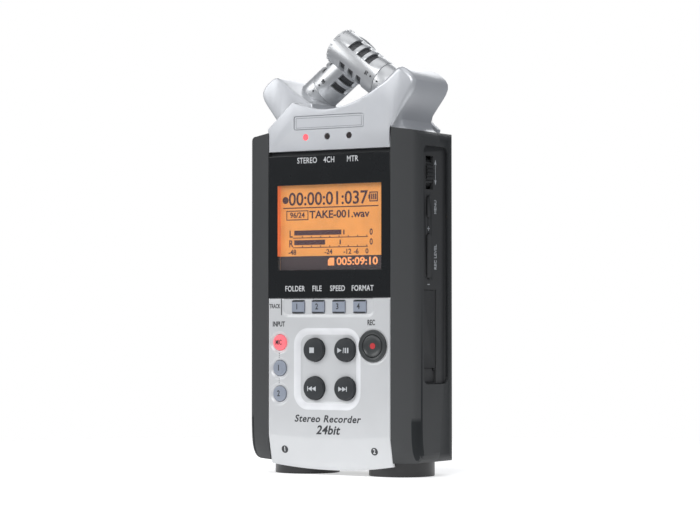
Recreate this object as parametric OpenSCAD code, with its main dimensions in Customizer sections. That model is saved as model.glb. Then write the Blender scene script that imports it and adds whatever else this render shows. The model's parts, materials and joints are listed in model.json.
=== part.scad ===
// Portable stereo field recorder, standing upright on its two input sockets.
// X is the width, the front face looks along -Y, and Z runs up to the crossed microphones.
// The origin is the middle of the footprint, on the surface that the recorder stands on.

/* [Case] */
// Width of the case across its sides
body_w = 70; // [69.6:0.1:70.6]
// Height of the flat top of the case above the standing surface
case_top = 119.5; // [119.4:0.1:120]
// Height of the underside of the case above the standing surface
case_bottom = 5; // [4.6:0.1:5.4]
// Wall thickness of the two case shells
wall = 2; // [1.8:0.1:2.1]

/* [Front face] */
// Width of the flat front face, across cover and control panel
front_w = 50.2; // [49.8:0.1:50.6]
// Height of the joint between the display cover and the control panel
cover_bottom = 61.84; // [61.6:0.02:62]
// Height of the top edge of the display cover
cover_top = 112; // [111.6:0.1:112.4]
// Diameter of the four transport keys
transport_d = 8.2; // [8:0.1:8.8]
// Diameter of the ring around the record key
record_ring_d = 11.3; // [11.2:0.1:11.6]
// How far a key travels when it is pressed
key_travel = 0.5; // [0.3:0.1:0.5]

/* [Microphones] */
// Diameter of a microphone barrel
mic_d = 13.2; // [12.6:0.1:13.4]
// Length of a microphone barrel from its twist seam to its tip
mic_len = 22.2; // [21.6:0.1:22.6]
// Rise of a microphone's axis above the horizontal
mic_tilt = 36.87; // [36:0.1:38]
// Angle between a barrel's own axis and the axis that it twists about
twist_offset = 7.5; // [7:0.1:8]

/* [Sockets] */
// Outer diameter of an input socket barrel
socket_d = 23; // [22.6:0.1:23]
// Distance of each input socket from the middle of the recorder
socket_x = 19.6; // [19.4:0.1:19.8]

/* [Hidden] */
$fn = 48;
eps = 0.01;
fit = 0.05;
side_x = body_w / 2;
front_y = -17;
back_y = 17.5;
skin = 2;
panel_back = front_y + skin;
ledge_back = -13.6;
bevel_x = front_w / 2;
bevel_y = -11;
inner_x = side_x - wall;
inner_top = case_top - wall;
inner_bottom = case_bottom + wall;
shoulder_r = 3.6;
shoulder_c = [side_x - shoulder_r, -11.8];
shoulder = [shoulder_c[0] + 0.86, -15.3];
chin_z = 13.2;
chin_foot = [-15.2, 4.4];
back_r = 12.5;
back_cx = side_x - back_r;
back_cy = back_y - back_r;
edge_r = 3.5;

// Front face: places of the keys as [x, z]
stop_at = [-6.1, 43.8];
play_at = [6.6, 43.8];
rewind_at = [-6.1, 30.4];
forward_at = [6.6, 30.4];
record_at = [18, 45.2];
mic_key_at = [-20.5, 46.3];
input_1_at = [-20.5, 37.3];
input_2_at = [-20.5, 28.3];
track_z = 58.8;
track_x = [-12.6, -4.3, 4.2, 12.8];
track_size = [5.2, 4.2];
input_d = 5.6;
record_d = 7.8;
key_gap = 0.15;
flange = 0.6;
flange_y = [-14.9, -14.4];
stem_y = -14.1;
recess = 1;
switch_y = -13.45;

// Right side: inset control strip and what it holds
strip_y = [-11.1, 5.5];
strip_z = [32.1, 114.2];
strip_x = side_x - 0.8;
strip_back = side_x - wall;
key_row_y = [-8, -5];
dial_at = [28.4, 105];
dial_r = 6.5;
dial_y = [-8, -3.6];
menu_z = [89.3, 96.75];
level_z = [68.4, 83.7];
level_pivot = [31.9, 76.05];
door_z = [37.7, 64.4];
door_y = [-10.6, -2.1];
door_axis = [33.6, -2.1];

// Left side
phones_at = [-5, 100];
volume_z = [74, 89.3];
volume_pivot = [-32.1, 81.65];
usb_at = [-5.05, 62];
dc_at = [-5, 49];
power_z = [20, 33];
power_knob_z = [23.5, 29.5];

// Back
cover_half_w = 17.5;
cover_z = [38.3, 92];
cover_axis = [16.6, 39.2];
cover_r = 0.9;
tripod_z = 22;
speaker_z = 105;
mic_jack_at = [-21, 104];
screw_at = [[-29, 38.5], [29, 38.5], [-29, 113], [29, 113]];
cell_x = 7.4;
cell_y = 8.4;
cell_r = 7.1;
cell_mid = 65;
cell_body = [-24, 25.5];
cell_end = 26.5;

// Microphone seam, in the plane of the right microphone
seam_x = 17.1;
seam_z = 137.5;
mic_y = -8.1;
mic_r = mic_d / 2;
hinge_tilt = mic_tilt - twist_offset;
spigot_r = 3.4;
sleeve_r = mic_r - 0.9;
// Lengths along the barrel from the seam: where each slotted band starts and ends
slot_bands = [[5, 7.4], [8.9, 11.4], [13.1, 15.8]];
stripe_w = 5.7;

// Guard: front plate outline as [x, z]
guard_base = 113.5;
guard_depth = [front_y, 7];
plate_pts = [
    [-25.1, 113.5], [25.1, 113.5], [25.1, 119.6], [27.4, 122.8], [29.3, 126.2],
    [27.5, 131.5], [19, 133], [16.6, 132.3], [13, 130.9], [6.9, 128.8], [-1.4, 127.8],
    [-8, 128.8], [-14.7, 130.8], [-25.7, 121.4], [-25.1, 119.6]
];
neck_pts = [
    [12, case_top], [30.4, case_top], [27.5, 122.4], [27.7, 124.6],
    [29, 126.8], [27, 131], [18, 132.6], [12, 130.2]
];
// Horn head: its span along the microphone's axis, and its height to each side of that axis
head_u = [3.8, 16.2];
head_n = [-8.5, 9.8];
head_r = 2.6;
led_x = [-9.5, -0.5, 8.5];
led_z = 118.25;
badge = [29, 5];
badge_z = 123.3;

// ---- shared shapes ----

// Box between two corners
module box(x, y, z) {
    translate([x[0], y[0], z[0]]) cube([x[1] - x[0], y[1] - y[0], z[1] - z[0]]);
}

// Outline in X and Z, carried from y[0] to y[1]
module along_y(y) {
    translate([0, y[1], 0]) rotate([90, 0, 0]) linear_extrude(y[1] - y[0]) children();
}

// Outline in Y and Z, carried from x[0] to x[1]
module along_x(x) {
    translate([x[0], 0, 0]) rotate([90, 0, 90]) linear_extrude(x[1] - x[0]) children();
}

// Round bar along Y at [x, z]
module rod_y(at, r, y) {
    translate([at[0], y[1], at[1]]) rotate([90, 0, 0]) cylinder(r = r, h = y[1] - y[0]);
}

// Round bar along X at [y, z]
module rod_x(at, r, x) {
    translate([x[0], at[0], at[1]]) rotate([0, 90, 0]) cylinder(r = r, h = x[1] - x[0]);
}

// Round bar along Z at [x, y]
module rod_z(at, r, z) {
    translate([at[0], at[1], z[0]]) cylinder(r = r, h = z[1] - z[0]);
}

// Rectangle with round corners, between u[0], u[1] and v[0], v[1]
module round_rect(u, v, r) {
    translate([u[0] + r, v[0]]) square([u[1] - u[0] - 2 * r, v[1] - v[0]]);
    translate([u[0], v[0] + r]) square([u[1] - u[0], v[1] - v[0] - 2 * r]);
    for (a = [u[0] + r, u[1] - r], b = [v[0] + r, v[1] - r]) translate([a, b]) circle(r);
}

// A span made wider by g at both ends
function grow(span, g) = [span[0] - g, span[1] + g];

// The span of a given size about a centre
function about(c, size) = [c - size / 2, c + size / 2];

// Frame of the right microphone: X runs down its axis into the guard, from the seam
module mic_frame(tilt) {
    translate([seam_x, 0, seam_z]) rotate([0, tilt, 0]) children();
}

// Round bar on a microphone's axis, between distances a and b from the seam towards the tip
module mic_rod(r, a, b) {
    mic_frame(mic_tilt) rod_x([mic_y, 0], r, [-b, -a]);
}

// The same shape on the left side, turned half a turn about Z
module opposite() {
    rotate([0, 0, 180]) children();
}

// ---- case ----

// Plan of the case, outside walls at d = 0 and inside faces at d = wall
module case_plan(d, front) {
    run = [side_x - bevel_x, bevel_y - front_y];
    slope = run[1] / run[0];
    lift = d * sqrt(1 + slope * slope);
    polygon([
        [-bevel_x - (front - front_y - lift) / slope, front],
        [bevel_x + (front - front_y - lift) / slope, front],
        [side_x - d, bevel_y + lift - d * slope],
        [side_x - d, eps], [d - side_x, eps],
        [d - side_x, bevel_y + lift - d * slope]
    ]);
    translate([d - side_x, 0]) square([2 * (side_x - d), back_cy]);
    translate([-back_cx, 0]) square([2 * back_cx, back_y - d]);
    for (s = [-1, 1]) translate([s * back_cx, back_cy]) circle(back_r - d, $fn = 96);
}

// Outer plan of the case: sloping shoulders beside the front face run into round corners
module case_outline() {
    case_plan(0, front_y);
    polygon([
        [-bevel_x, front_y], [bevel_x, front_y], shoulder, shoulder_c, [side_x, shoulder_c[1]],
        [side_x, eps], [-side_x, eps], [-side_x, shoulder_c[1]],
        [-shoulder_c[0], shoulder_c[1]], [-shoulder[0], shoulder[1]]
    ]);
    for (s = [-1, 1]) translate([s * shoulder_c[0], shoulder_c[1]]) circle(shoulder_r, $fn = 96);
}

// The whole case as one block with its top, bottom and end edges rounded
module case_block() {
    intersection() {
        translate([0, 0, case_bottom]) linear_extrude(case_top - case_bottom) case_outline();
        along_y([front_y - 1, back_y + 1])
            round_rect([-side_x, side_x], [case_bottom, case_top], edge_r);
        along_x([-side_x, side_x]) intersection() {
            union() {
                round_rect([front_y, back_y], [case_bottom, case_top], edge_r);
                translate([front_y, case_bottom]) square([edge_r, case_top - case_bottom]);
            }
            // The foot of the front leans back with the control panel
            polygon([
                [front_y, case_top + 1], [front_y, chin_z], chin_foot, [chin_foot[0], 0],
                [back_y + 1, 0], [back_y + 1, case_top + 1]
            ]);
        }
    }
}

module case_space() {
    translate([0, 0, inner_bottom]) linear_extrude(inner_top - inner_bottom)
        case_plan(wall, ledge_back);
}

module socket_holes() {
    for (s = [-1, 1]) rod_z([s * socket_x, 0], socket_d / 2 + 0.1, [0, inner_bottom + 1]);
}

module side_strip_space(g) {
    along_x([strip_back - 0.05, side_x + 1])
        round_rect(grow(strip_y, g), grow(strip_z, g), 2.5);
}

module front_case() {
    color([0.20, 0.21, 0.22]) difference() {
        union() {
            difference() {
                intersection() {
                    case_block();
                    box([-side_x, side_x], [front_y, 0], [0, case_top]);
                }
                case_space();
            }
            for (p = screw_at) {
                rod_y(p, 2.5, [-3.2, 0]);
                box(about(sign(p[0]) * 31.2, 4), [-3.2, 0], about(p[1], 2));
            }
            // Ribs that carry the right bosses round the control strip
            box([28, 30], [-3.2, 0], [113, inner_top + 0.5]);
            box([31.3, side_x - 1.5], [-3.2, 0], [29.5, 39.5]);
            // Bearings of the volume rocker
            for (y = [-8.85, -3.85]) box([-33.1, -31.2], [y, y + 0.7], about(volume_pivot[1], 2.4));
        }
        // Seat for the control panel, display cover and guard
        box([-bevel_x - 0.1, bevel_x + 0.1], [front_y - 1, panel_back], [0, case_top + 1]);
        box([-24.1, 24.1], [panel_back - 1, ledge_back + 1], [9, 61.3]);
        box([-23.2, 23.2], [panel_back - 1, ledge_back + 1], [67, 106.5]);
        box([-bevel_x - 0.05, bevel_x + 0.05], [panel_back - 1, -12.3], [0, 9.2]);
        for (x = led_x) rod_y([x, led_z], 1.25, [panel_back - 1, -12]);
        for (p = screw_at) rod_y(p, 1.2, [-2.6, 1]);
        socket_holes();
        side_strip_space(0);
        // Left side: sockets, volume rocker and power slide
        rod_x(phones_at, 3.1, [-side_x - 1, -30]);
        rod_x(dc_at, 4.1, [-side_x - 1, -30]);
        box([-side_x - 1, -30], about(usb_at[0], 4), about(usb_at[1], 7.9));
        along_x([-side_x - 1, -inner_x + 0.1])
            round_rect(grow(about(-5.5, 3), 0.25), grow(volume_z, 0.25), 1.6);
        along_x([-side_x - 1, -inner_x + 1]) round_rect([-6.6, -4.4], power_z, 1.09);
        rod_y(volume_pivot, 0.75, [-9.5, -3]);
    }
}

module rear_case() {
    color([0.20, 0.21, 0.22]) difference() {
        union() {
            difference() {
                intersection() {
                    case_block();
                    box([-side_x, side_x], [0, back_y], [0, case_top]);
                }
                case_space();
            }
            intersection() {
                case_block();
                union() {
                    for (p = screw_at) rod_y(p, 3.4, [0, back_y]);
                    rod_y([0, tripod_z], 6.5, [9, back_y]);
                }
            }
        }
        for (p = screw_at) {
            rod_y(p, 1.4, [-1, back_y]);
            rod_y(p, 2.6, [12.5, back_y + 1]);
        }
        rod_y([0, tripod_z], 4.8, [8, back_y + 1]);
        rod_y(mic_jack_at, 3.1, [14, back_y + 1]);
        // Battery opening and the two bearings of its cover
        box(about(0, 2 * cover_half_w + 0.2), [14, back_y + 1], grow(cover_z, 0.15));
        rod_x(cover_axis, 0.85, about(0, 2 * cover_half_w + 2.2));
        // Loudspeaker grille: rings of small holes
        for (ring = [0 : 3], k = [0 : max(0, 6 * ring - 1)])
            rod_y([2.4 * ring * cos(60 * k / max(ring, 1)),
                   speaker_z + 2.4 * ring * sin(60 * k / max(ring, 1))], 0.65, [14, back_y + 1]);
        socket_holes();
        side_strip_space(0);
    }
}

module control_panel() {
    lip = [
        [front_y, cover_bottom - 0.06], [front_y, chin_z], chin_foot, [-14.4, 2.6], [-12.9, 1.6],
        [-12.4, 1.6], [-12.4, 5], [-13.3, 6.6], [panel_back, chin_z], [panel_back, cover_bottom - 0.06]
    ];
    chin_r = 160;
    color([0.80, 0.81, 0.82]) difference() {
        intersection() {
            along_x([-bevel_x, bevel_x]) polygon(lip);
            along_y([front_y - 1, 0]) union() {
                translate([-bevel_x, 8]) square([front_w, 62]);
                translate([0, 1.8 + chin_r]) circle(chin_r, $fn = 360);
            }
        }
        // Shallow dished recess around the transport keys
        along_y([front_y - 1, front_y + recess]) round_rect([-14.3, 13.2], [22.9, 51.4], 5);
        // Tray behind the track keys
        along_y([front_y - 1, front_y + 0.3]) round_rect([-18.6, 18], [56, 70], 2.2);
        for (p = [stop_at, play_at, rewind_at, forward_at])
            rod_y(p, transport_d / 2 + key_gap, [front_y - 1, panel_back + 1]);
        for (p = [mic_key_at, input_1_at, input_2_at])
            rod_y(p, input_d / 2 + key_gap, [front_y - 1, panel_back + 1]);
        for (x = track_x) box(about(x, track_size[0] + 2 * key_gap), [front_y - 1, panel_back + 1],
            about(track_z, track_size[1] + 2 * key_gap));
        rod_y(record_at, record_ring_d / 2, [front_y - 1, panel_back + 1]);
    }
}

module display_cover() {
    color([0.06, 0.06, 0.07]) difference() {
        box([-bevel_x, bevel_x], [front_y, panel_back], [cover_bottom, cover_top]);
        box([-21.4, 21.5], [front_y - 1, panel_back + 1], [71.7, 101.5]);
    }
}

module display_window() {
    color([0.9, 0.7, 0.45, 0.4]) box([-21.4, 21.5], [front_y + 0.1, -15.9], [71.7, 101.5]);
}

module side_panel() {
    color([0.16, 0.16, 0.17]) difference() {
        union() {
            intersection() {
                side_strip_space(-0.1);
                box([strip_back - 0.05, strip_x], [-20, 20], [0, 150]);
            }
            for (y = [-9.35, -4.35])
                box([30.9, strip_back], [y, y + 0.7], about(level_pivot[1], 2.4));
        }
        box([strip_back - 1, side_x + 1], grow(dial_y, 0.3), [99.2, 110.8]);
        along_x([strip_back - 1, side_x + 1])
            round_rect(grow(key_row_y, key_gap), grow(menu_z, key_gap), 1.6);
        along_x([strip_back - 1, side_x + 1])
            round_rect(grow(key_row_y, 0.25), grow(level_z, 0.25), 1.7);
        rod_y(level_pivot, 0.75, [-10, -3]);
        box([strip_back - 1, side_x + 1], [door_y[0] - 0.15, -1.33], grow(door_z, 0.15));
        // Bearings of the card door, and the finger scoop under it
        rod_z(door_axis, 0.5, grow(door_z, 1));
        box([strip_back + 0.4, side_x + 1], [door_y[0], -1.5], [32.6, door_z[0]]);
    }
}

// ---- guard around the microphones ----

module guard_half() {
    difference() {
        union() {
            along_y([front_y, -14]) polygon(plate_pts);
            along_y(guard_depth) polygon(neck_pts);
            // Saddle between the horns
            box([-12, 14.7], [-14.5, 0], [case_top, 126.6]);
            box([-14.7, -11], [-14.5, -7], [case_top, 126.6]);
            // Horn head, square to the microphone's axis, with a crowned top
            mic_frame(mic_tilt) along_x(head_u) round_rect(guard_depth, head_n, head_r);
        }
        // The front plate reaches below the top of the case, the rest stands on it
        box([-40, 40], [panel_back, 20], [guard_base - 1, case_top]);
        mic_rod(mic_r, -7, 3);
        // Hollow for the microphone leads
        box([-12, 24], [-13.5, -2], [case_top - 1, 124.5]);
    }
}

module mic_guard_front() {
    color([0.83, 0.84, 0.86]) difference() {
        guard_half();
        for (x = led_x) rod_y([x, led_z], 1.1, [front_y - 1, panel_back + 1]);
        along_y([front_y - 1, front_y + 0.5])
            round_rect(about(0, badge[0]), about(badge_z, badge[1]), 0.8);
    }
}

module mic_guard_rear() {
    color([0.83, 0.84, 0.86]) opposite() difference() {
        guard_half();
        box([-40, 40], [-20, panel_back + eps], [guard_base - 1, case_top]);
    }
}

module badge_plate() {
    color([0.75, 0.76, 0.78]) along_y([front_y + 0.1, front_y + 0.5])
        round_rect(about(0, badge[0] - 0.4), about(badge_z, badge[1] - 0.4), 0.6);
}

module mode_led(x) {
    rod_y([x, led_z], 1.05, [front_y - 0.1, -12.5]);
}

module mode_led_active() {
    color([1, 0.35, 0.35]) mode_led(led_x[0]);
}

module mode_led_idle() {
    color([0.15, 0.12, 0.12]) for (x = [led_x[1], led_x[2]]) mode_led(x);
}

// ---- microphones ----

// Everything on the guard's side of the twist seam, starting d away from it
module behind_seam(d) {
    mic_frame(hinge_tilt) box([d, 30], [-30, 20], [-20, 20]);
}

module mic_base() {
    intersection() {
        mic_rod(mic_r, -7, 3);
        behind_seam(fit);
    }
    mic_frame(hinge_tilt) rod_x([mic_y, 0], spigot_r, [-3, 1]);
}

// Round bar like mic_rod, turned by a about its own axis
module turned_rod(r, from, to, a) {
    mic_frame(mic_tilt) translate([0, mic_y, 0]) rotate([a - 90, 0, 0]) rod_x([0, 0], r, [-to, -from]);
}

// Tube whose slots are broken by three plain stripes, the first of them turned by a from the front
module mic_barrel(a) {
    difference() {
        turned_rod(mic_r, -3, mic_len, a);
        behind_seam(-fit);
        mic_frame(hinge_tilt) rod_x([mic_y, 0], spigot_r + fit, [-3.2, 1]);
        turned_rod(sleeve_r, 4.6, mic_len + 1, a);
        for (band = slot_bands) difference() {
            turned_rod(mic_r + 1, band[0], band[1], a);
            mic_frame(mic_tilt) for (k = [0 : 2]) translate([0, mic_y, 0]) rotate([a + 120 * k, 0, 0])
                box([-mic_len, 0], [-mic_d, 0], about(0, stripe_w));
        }
    }
}

module mic_mesh() {
    difference() {
        mic_rod(sleeve_r - fit, 4.7, 16.4);
        mic_rod(sleeve_r - 0.5, 4, 17);
    }
}

module mic_capsule() {
    mic_rod(sleeve_r - 0.6, 9, mic_len - 1.4);
    mic_rod(sleeve_r - fit, mic_len - 1.2, mic_len - 0.6);
    mic_rod(sleeve_r - 2, mic_len - 1.4, mic_len - 1.2);
}

module mic_base_right() {
    color([0.78, 0.79, 0.80]) mic_base();
}

module mic_base_left() {
    color([0.78, 0.79, 0.80]) opposite() mic_base();
}

module mic_barrel_right() {
    color([0.78, 0.79, 0.80]) mic_barrel(0);
}

module mic_barrel_left() {
    color([0.78, 0.79, 0.80]) opposite() mic_barrel(180);
}

module mic_mesh_right() {
    color([0.25, 0.25, 0.26]) mic_mesh();
}

module mic_mesh_left() {
    color([0.25, 0.25, 0.26]) opposite() mic_mesh();
}

module mic_capsule_right() {
    color([0.35, 0.35, 0.36]) mic_capsule();
}

module mic_capsule_left() {
    color([0.35, 0.35, 0.36]) opposite() mic_capsule();
}

// ---- keys on the front ----

// Round key: cap, retaining flange behind the panel, and the stem that meets its switch
module round_key(at, d, proud) {
    rod_y(at, d / 2, [front_y - proud, flange_y[1]]);
    rod_y(at, d / 2 + flange, flange_y);
    rod_y(at, 1.2, [flange_y[1], stem_y]);
}

module track_key(i) {
    box(about(track_x[i], track_size[0]), [front_y - 0.1, flange_y[1]],
        about(track_z, track_size[1]));
    box(about(track_x[i], track_size[0] + 1.2), flange_y, [track_z - 2.7, track_z + 1.6]);
    rod_y([track_x[i], track_z - 0.6], 1.2, [flange_y[1], stem_y]);
}

module stop_button() {
    color([0.17, 0.18, 0.19]) round_key(stop_at, transport_d, 0.5);
}

module play_button() {
    color([0.17, 0.18, 0.19]) round_key(play_at, transport_d, 0.5);
}

module rewind_button() {
    color([0.17, 0.18, 0.19]) round_key(rewind_at, transport_d, 0.5);
}

module forward_button() {
    color([0.17, 0.18, 0.19]) round_key(forward_at, transport_d, 0.5);
}

module record_button() {
    color([0.20, 0.22, 0.22]) {
        rod_y(record_at, record_d / 2, [front_y - 0.3, flange_y[1]]);
        rod_y(record_at, 1.2, [flange_y[1], stem_y]);
    }
}

module record_ring() {
    color([0.24, 0.27, 0.27]) difference() {
        rod_y(record_at, record_ring_d / 2, [front_y - 0.3, panel_back]);
        rod_y(record_at, record_d / 2 + key_gap, [front_y - 1, panel_back + 1]);
    }
}

module mic_input_button() {
    color([0.96, 0.50, 0.52]) round_key(mic_key_at, input_d, 0);
}

module input_1_button() {
    color([0.58, 0.61, 0.67]) round_key(input_1_at, input_d, 0);
}

module input_2_button() {
    color([0.58, 0.61, 0.67]) round_key(input_2_at, input_d, 0);
}

module track_button_1() {
    color([0.62, 0.64, 0.70]) track_key(0);
}

module track_button_2() {
    color([0.62, 0.64, 0.70]) track_key(1);
}

module track_button_3() {
    color([0.62, 0.64, 0.70]) track_key(2);
}

module track_button_4() {
    color([0.62, 0.64, 0.70]) track_key(3);
}

// ---- controls and doors on the sides ----

module menu_button() {
    color([0.13, 0.13, 0.14]) {
        along_x([31.9, strip_x + 0.5]) round_rect(key_row_y, menu_z, 1.45);
        box([32, 32.6], grow(key_row_y, 0.5), grow(menu_z, 0.5));
    }
}

module rec_level_rocker() {
    color([0.13, 0.13, 0.14]) {
        along_x([32.4, strip_x + 0.4]) round_rect(key_row_y, level_z, 1.45);
        box([level_pivot[0] - 0.7, 32.4], grow(key_row_y, -0.1), about(level_pivot[1], 2));
        rod_y(level_pivot, 0.7, [-9.3, -3.7]);
    }
}

module volume_rocker() {
    color([0.13, 0.13, 0.14]) {
        along_x([-side_x + 0.1, -32.6]) round_rect(about(-5.5, 3), volume_z, 1.45);
        box([-32.6, volume_pivot[0] + 0.7], about(-5.9, 2.8), about(volume_pivot[1], 2));
        rod_y(volume_pivot, 0.7, [-8.8, -3.2]);
    }
}

module dial_wheel() {
    color([0.12, 0.12, 0.13]) {
        difference() {
            rod_y(dial_at, dial_r, dial_y);
            for (a = [0 : 12 : 348]) rod_y(dial_at + dial_r * [cos(a), sin(a)], 0.3, [-9, -3]);
        }
        rod_y(dial_at, 1, [dial_y[0] - 0.9, dial_y[1] + 0.9]);
    }
}

module dial_carriage() {
    color([0.75, 0.75, 0.76]) difference() {
        union() {
            for (y = [dial_y[0] - 1, dial_y[1] + 0.1])
                box([20.4, 30], [y, y + 0.9], about(dial_at[1], 5));
            box([20.4, 21.4], [dial_y[0] - 1, dial_y[1] + 1], about(dial_at[1], 5));
        }
        rod_y(dial_at, 1 + fit, [-12, 0]);
    }
}

module card_door() {
    color([0.16, 0.16, 0.17]) {
        difference() {
            box([strip_back + 0.03, strip_x - 0.03], door_y, door_z);
            box([strip_back - 1, side_x + 1], [door_y[0] - 1, door_y[0] + 0.8], [48, 54.3]);
        }
        rod_z(door_axis, (strip_x - strip_back) / 2 - 0.03, door_z);
        rod_z(door_axis, 0.45, grow(door_z, 0.9));
    }
}

module power_switch() {
    color([0.13, 0.13, 0.14]) {
        box([-side_x + 0.1, -32.9], [-6.4, -4.6], power_knob_z);
        box([-32.9, -32.2], [-7.3, -3.7], grow(power_knob_z, 1));
    }
}

// ---- back ----

module battery_cover() {
    color([0.20, 0.21, 0.22]) {
        box([-cover_half_w, cover_half_w], [cover_axis[0] - cover_r, back_y],
            [cover_axis[1], cover_z[1]]);
        rod_x(cover_axis, cover_r, [-cover_half_w, cover_half_w]);
        rod_x(cover_axis, 0.8, about(0, 2 * cover_half_w + 2));
    }
}

module battery_tray() {
    color([0.15, 0.15, 0.16]) difference() {
        box([-16.5, 16.5], [0.1, 15.4], [36.8, 93.2]);
        box([-15.3, 15.3], [1.2, 16], [38, 92]);
    }
}

// The two cells lie head to tail, so one half turned about Y gives the other
module each_cell() {
    for (a = [0, 180]) translate([0, 0, cell_mid]) rotate([0, a, 0]) children();
}

module battery_cells() {
    color([0.25, 0.45, 0.35]) each_cell() {
        rod_z([cell_x, cell_y], cell_r, cell_body);
        rod_z([cell_x, cell_y], 2.7, [cell_body[0], cell_end]);
    }
}

module battery_springs() {
    coils = 3;
    color([0.8, 0.8, 0.8]) each_cell() for (k = [0 : coils - 1])
        translate([cell_x, cell_y, cell_body[0] - 0.45 - 0.75 * k]) rotate_extrude()
            translate([2.2 + 0.6 * k, 0]) circle(0.35, $fn = 16);
}

module battery_contacts() {
    color([0.8, 0.8, 0.8]) each_cell() for (z = [-27, cell_end])
        box(about(cell_x, 9), about(cell_y, 8), [z, z + 0.5]);
}

module tripod_insert() {
    color([0.80, 0.65, 0.35]) difference() {
        rod_y([0, tripod_z], 4.8, [9.5, back_y]);
        rod_y([0, tripod_z], 3.175, [11, back_y + 1]);
    }
}

module case_screws() {
    color([0.3, 0.3, 0.31]) for (p = screw_at) difference() {
        union() {
            rod_y(p, 2.4, [12.5, 14]);
            rod_y(p, 1.2, [-2.5, 12.5]);
        }
        box(about(p[0], 3), [13.4, 15], about(p[1], 0.6));
        box(about(p[0], 0.6), [13.4, 15], about(p[1], 3));
    }
}

// ---- inside ----

module main_board() {
    color([0.10, 0.35, 0.22]) box([-30.5, 30.5], [-10.6, -9.4], [36, 116]);
}

module key_board() {
    color([0.10, 0.35, 0.22]) box([-24.5, 24.5], [-12.8, -11.8], [9.5, 60.5]);
}

module tact_switches() {
    color([0.70, 0.70, 0.72]) {
        for (p = [stop_at, play_at, rewind_at, forward_at, record_at,
                  mic_key_at, input_1_at, input_2_at])
            box(about(p[0], 3.4), [switch_y, -12.8], about(p[1], 3.4));
        for (x = track_x) box(about(x, 3.4), [switch_y, -12.8], [track_z - 2.3, track_z + 1.1]);
    }
}

module lcd_panel() {
    color([0.94, 0.62, 0.28]) box([-22.4, 22.4], [-15, -13.4], [70, 103.5]);
}

module lcd_frame() {
    color([0.75, 0.75, 0.77]) {
        box([-23, 23], [-13.4, -11.6], [67.5, 106]);
        for (x = [-20, 19], z = [67.5, 105]) box([x, x + 1], [-11.6, -10.6], [z, z + 1]);
    }
}

module card_socket() {
    color([0.75, 0.75, 0.77]) difference() {
        box([1, 31], [-9.4, -4.6], about(51.05, 26.4));
        box([2, 32], [-7.4, -5], about(51.05, 24.4));
    }
}

module memory_card() {
    color([0.15, 0.20, 0.35]) difference() {
        box([2.4, 32.2], [-7.3, -5.2], about(51.05, 24));
        translate([2.4, 0, 63.05]) rotate([0, 45, 0]) box([-2.8, 2.8], [-9, -4], [-2.8, 2.8]);
    }
}

// Input socket that takes a three-pin plug in its ring or a quarter-inch plug in its bore
module combo_jack(s) {
    difference() {
        rod_z([s * socket_x, 0], socket_d / 2, [0, 34]);
        difference() {
            rod_z([s * socket_x, 0], 9.6, [-1, 16]);
            rod_z([s * socket_x, 0], 8.1, [-2, 17]);
        }
        rod_z([s * socket_x, 0], 8.2, [-1, 1.5]);
        rod_z([s * socket_x, 0], 3.2, [-1, 29.5]);
        for (a = [30, 150, 270])
            rod_z([s * socket_x + 5.6 * cos(a), 5.6 * sin(a)], 1.2, [-1, 14]);
    }
}

module combo_jack_left() {
    color([0.08, 0.08, 0.08]) combo_jack(-1);
}

module combo_jack_right() {
    color([0.08, 0.08, 0.08]) combo_jack(1);
}

module speaker() {
    color([0.25, 0.25, 0.26]) {
        rod_y([0, speaker_z], 9, [13, 15.4]);
        rod_y([0, speaker_z], 5.5, [10, 13]);
    }
}

module phones_jack() {
    color([0.10, 0.10, 0.10]) difference() {
        rod_x(phones_at, 3, [-side_x, -21]);
        rod_x(phones_at, 1.8, [-side_x - 1, -22.5]);
    }
}

module usb_port() {
    color([0.75, 0.75, 0.77]) difference() {
        box([-side_x + 0.2, -26], about(usb_at[0], 3.9), about(usb_at[1], 7.7));
        box([-side_x - 1, -27], about(usb_at[0], 3.1), about(usb_at[1], 6.9));
    }
}

module dc_jack() {
    color([0.10, 0.10, 0.10]) {
        difference() {
            rod_x(dc_at, 4, [-side_x, -24]);
            rod_x(dc_at, 2.9, [-side_x - 1, -25]);
        }
        rod_x(dc_at, 0.65, [-33.8, -24.5]);
    }
}

module mic_jack() {
    color([0.10, 0.10, 0.10]) difference() {
        rod_y(mic_jack_at, 3, [3.5, back_y]);
        rod_y(mic_jack_at, 1.8, [5, back_y + 1]);
    }
}

// ---- what is drawn ----

front_case();
rear_case();
control_panel();
display_cover();
display_window();
side_panel();
mic_guard_front();
mic_guard_rear();
badge_plate();
mode_led_active();
mode_led_idle();
mic_base_right();
mic_base_left();
mic_barrel_right();
mic_barrel_left();
mic_mesh_right();
mic_mesh_left();
mic_capsule_right();
mic_capsule_left();
stop_button();
play_button();
rewind_button();
forward_button();
record_button();
record_ring();
mic_input_button();
input_1_button();
input_2_button();
track_button_1();
track_button_2();
track_button_3();
track_button_4();
menu_button();
rec_level_rocker();
dial_wheel();
dial_carriage();
card_door();
volume_rocker();
power_switch();
battery_cover();
battery_tray();
battery_cells();
battery_springs();
battery_contacts();
main_board();
key_board();
tact_switches();
lcd_panel();
lcd_frame();
card_socket();
memory_card();
combo_jack_left();
combo_jack_right();
speaker();
phones_jack();
usb_port();
dc_jack();
mic_jack();
tripod_insert();
case_screws();
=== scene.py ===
"""Portable stereo field recorder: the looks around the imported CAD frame."""

import json
import math

import bmesh
import bpy
from mathutils import Matrix, Vector


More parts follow.
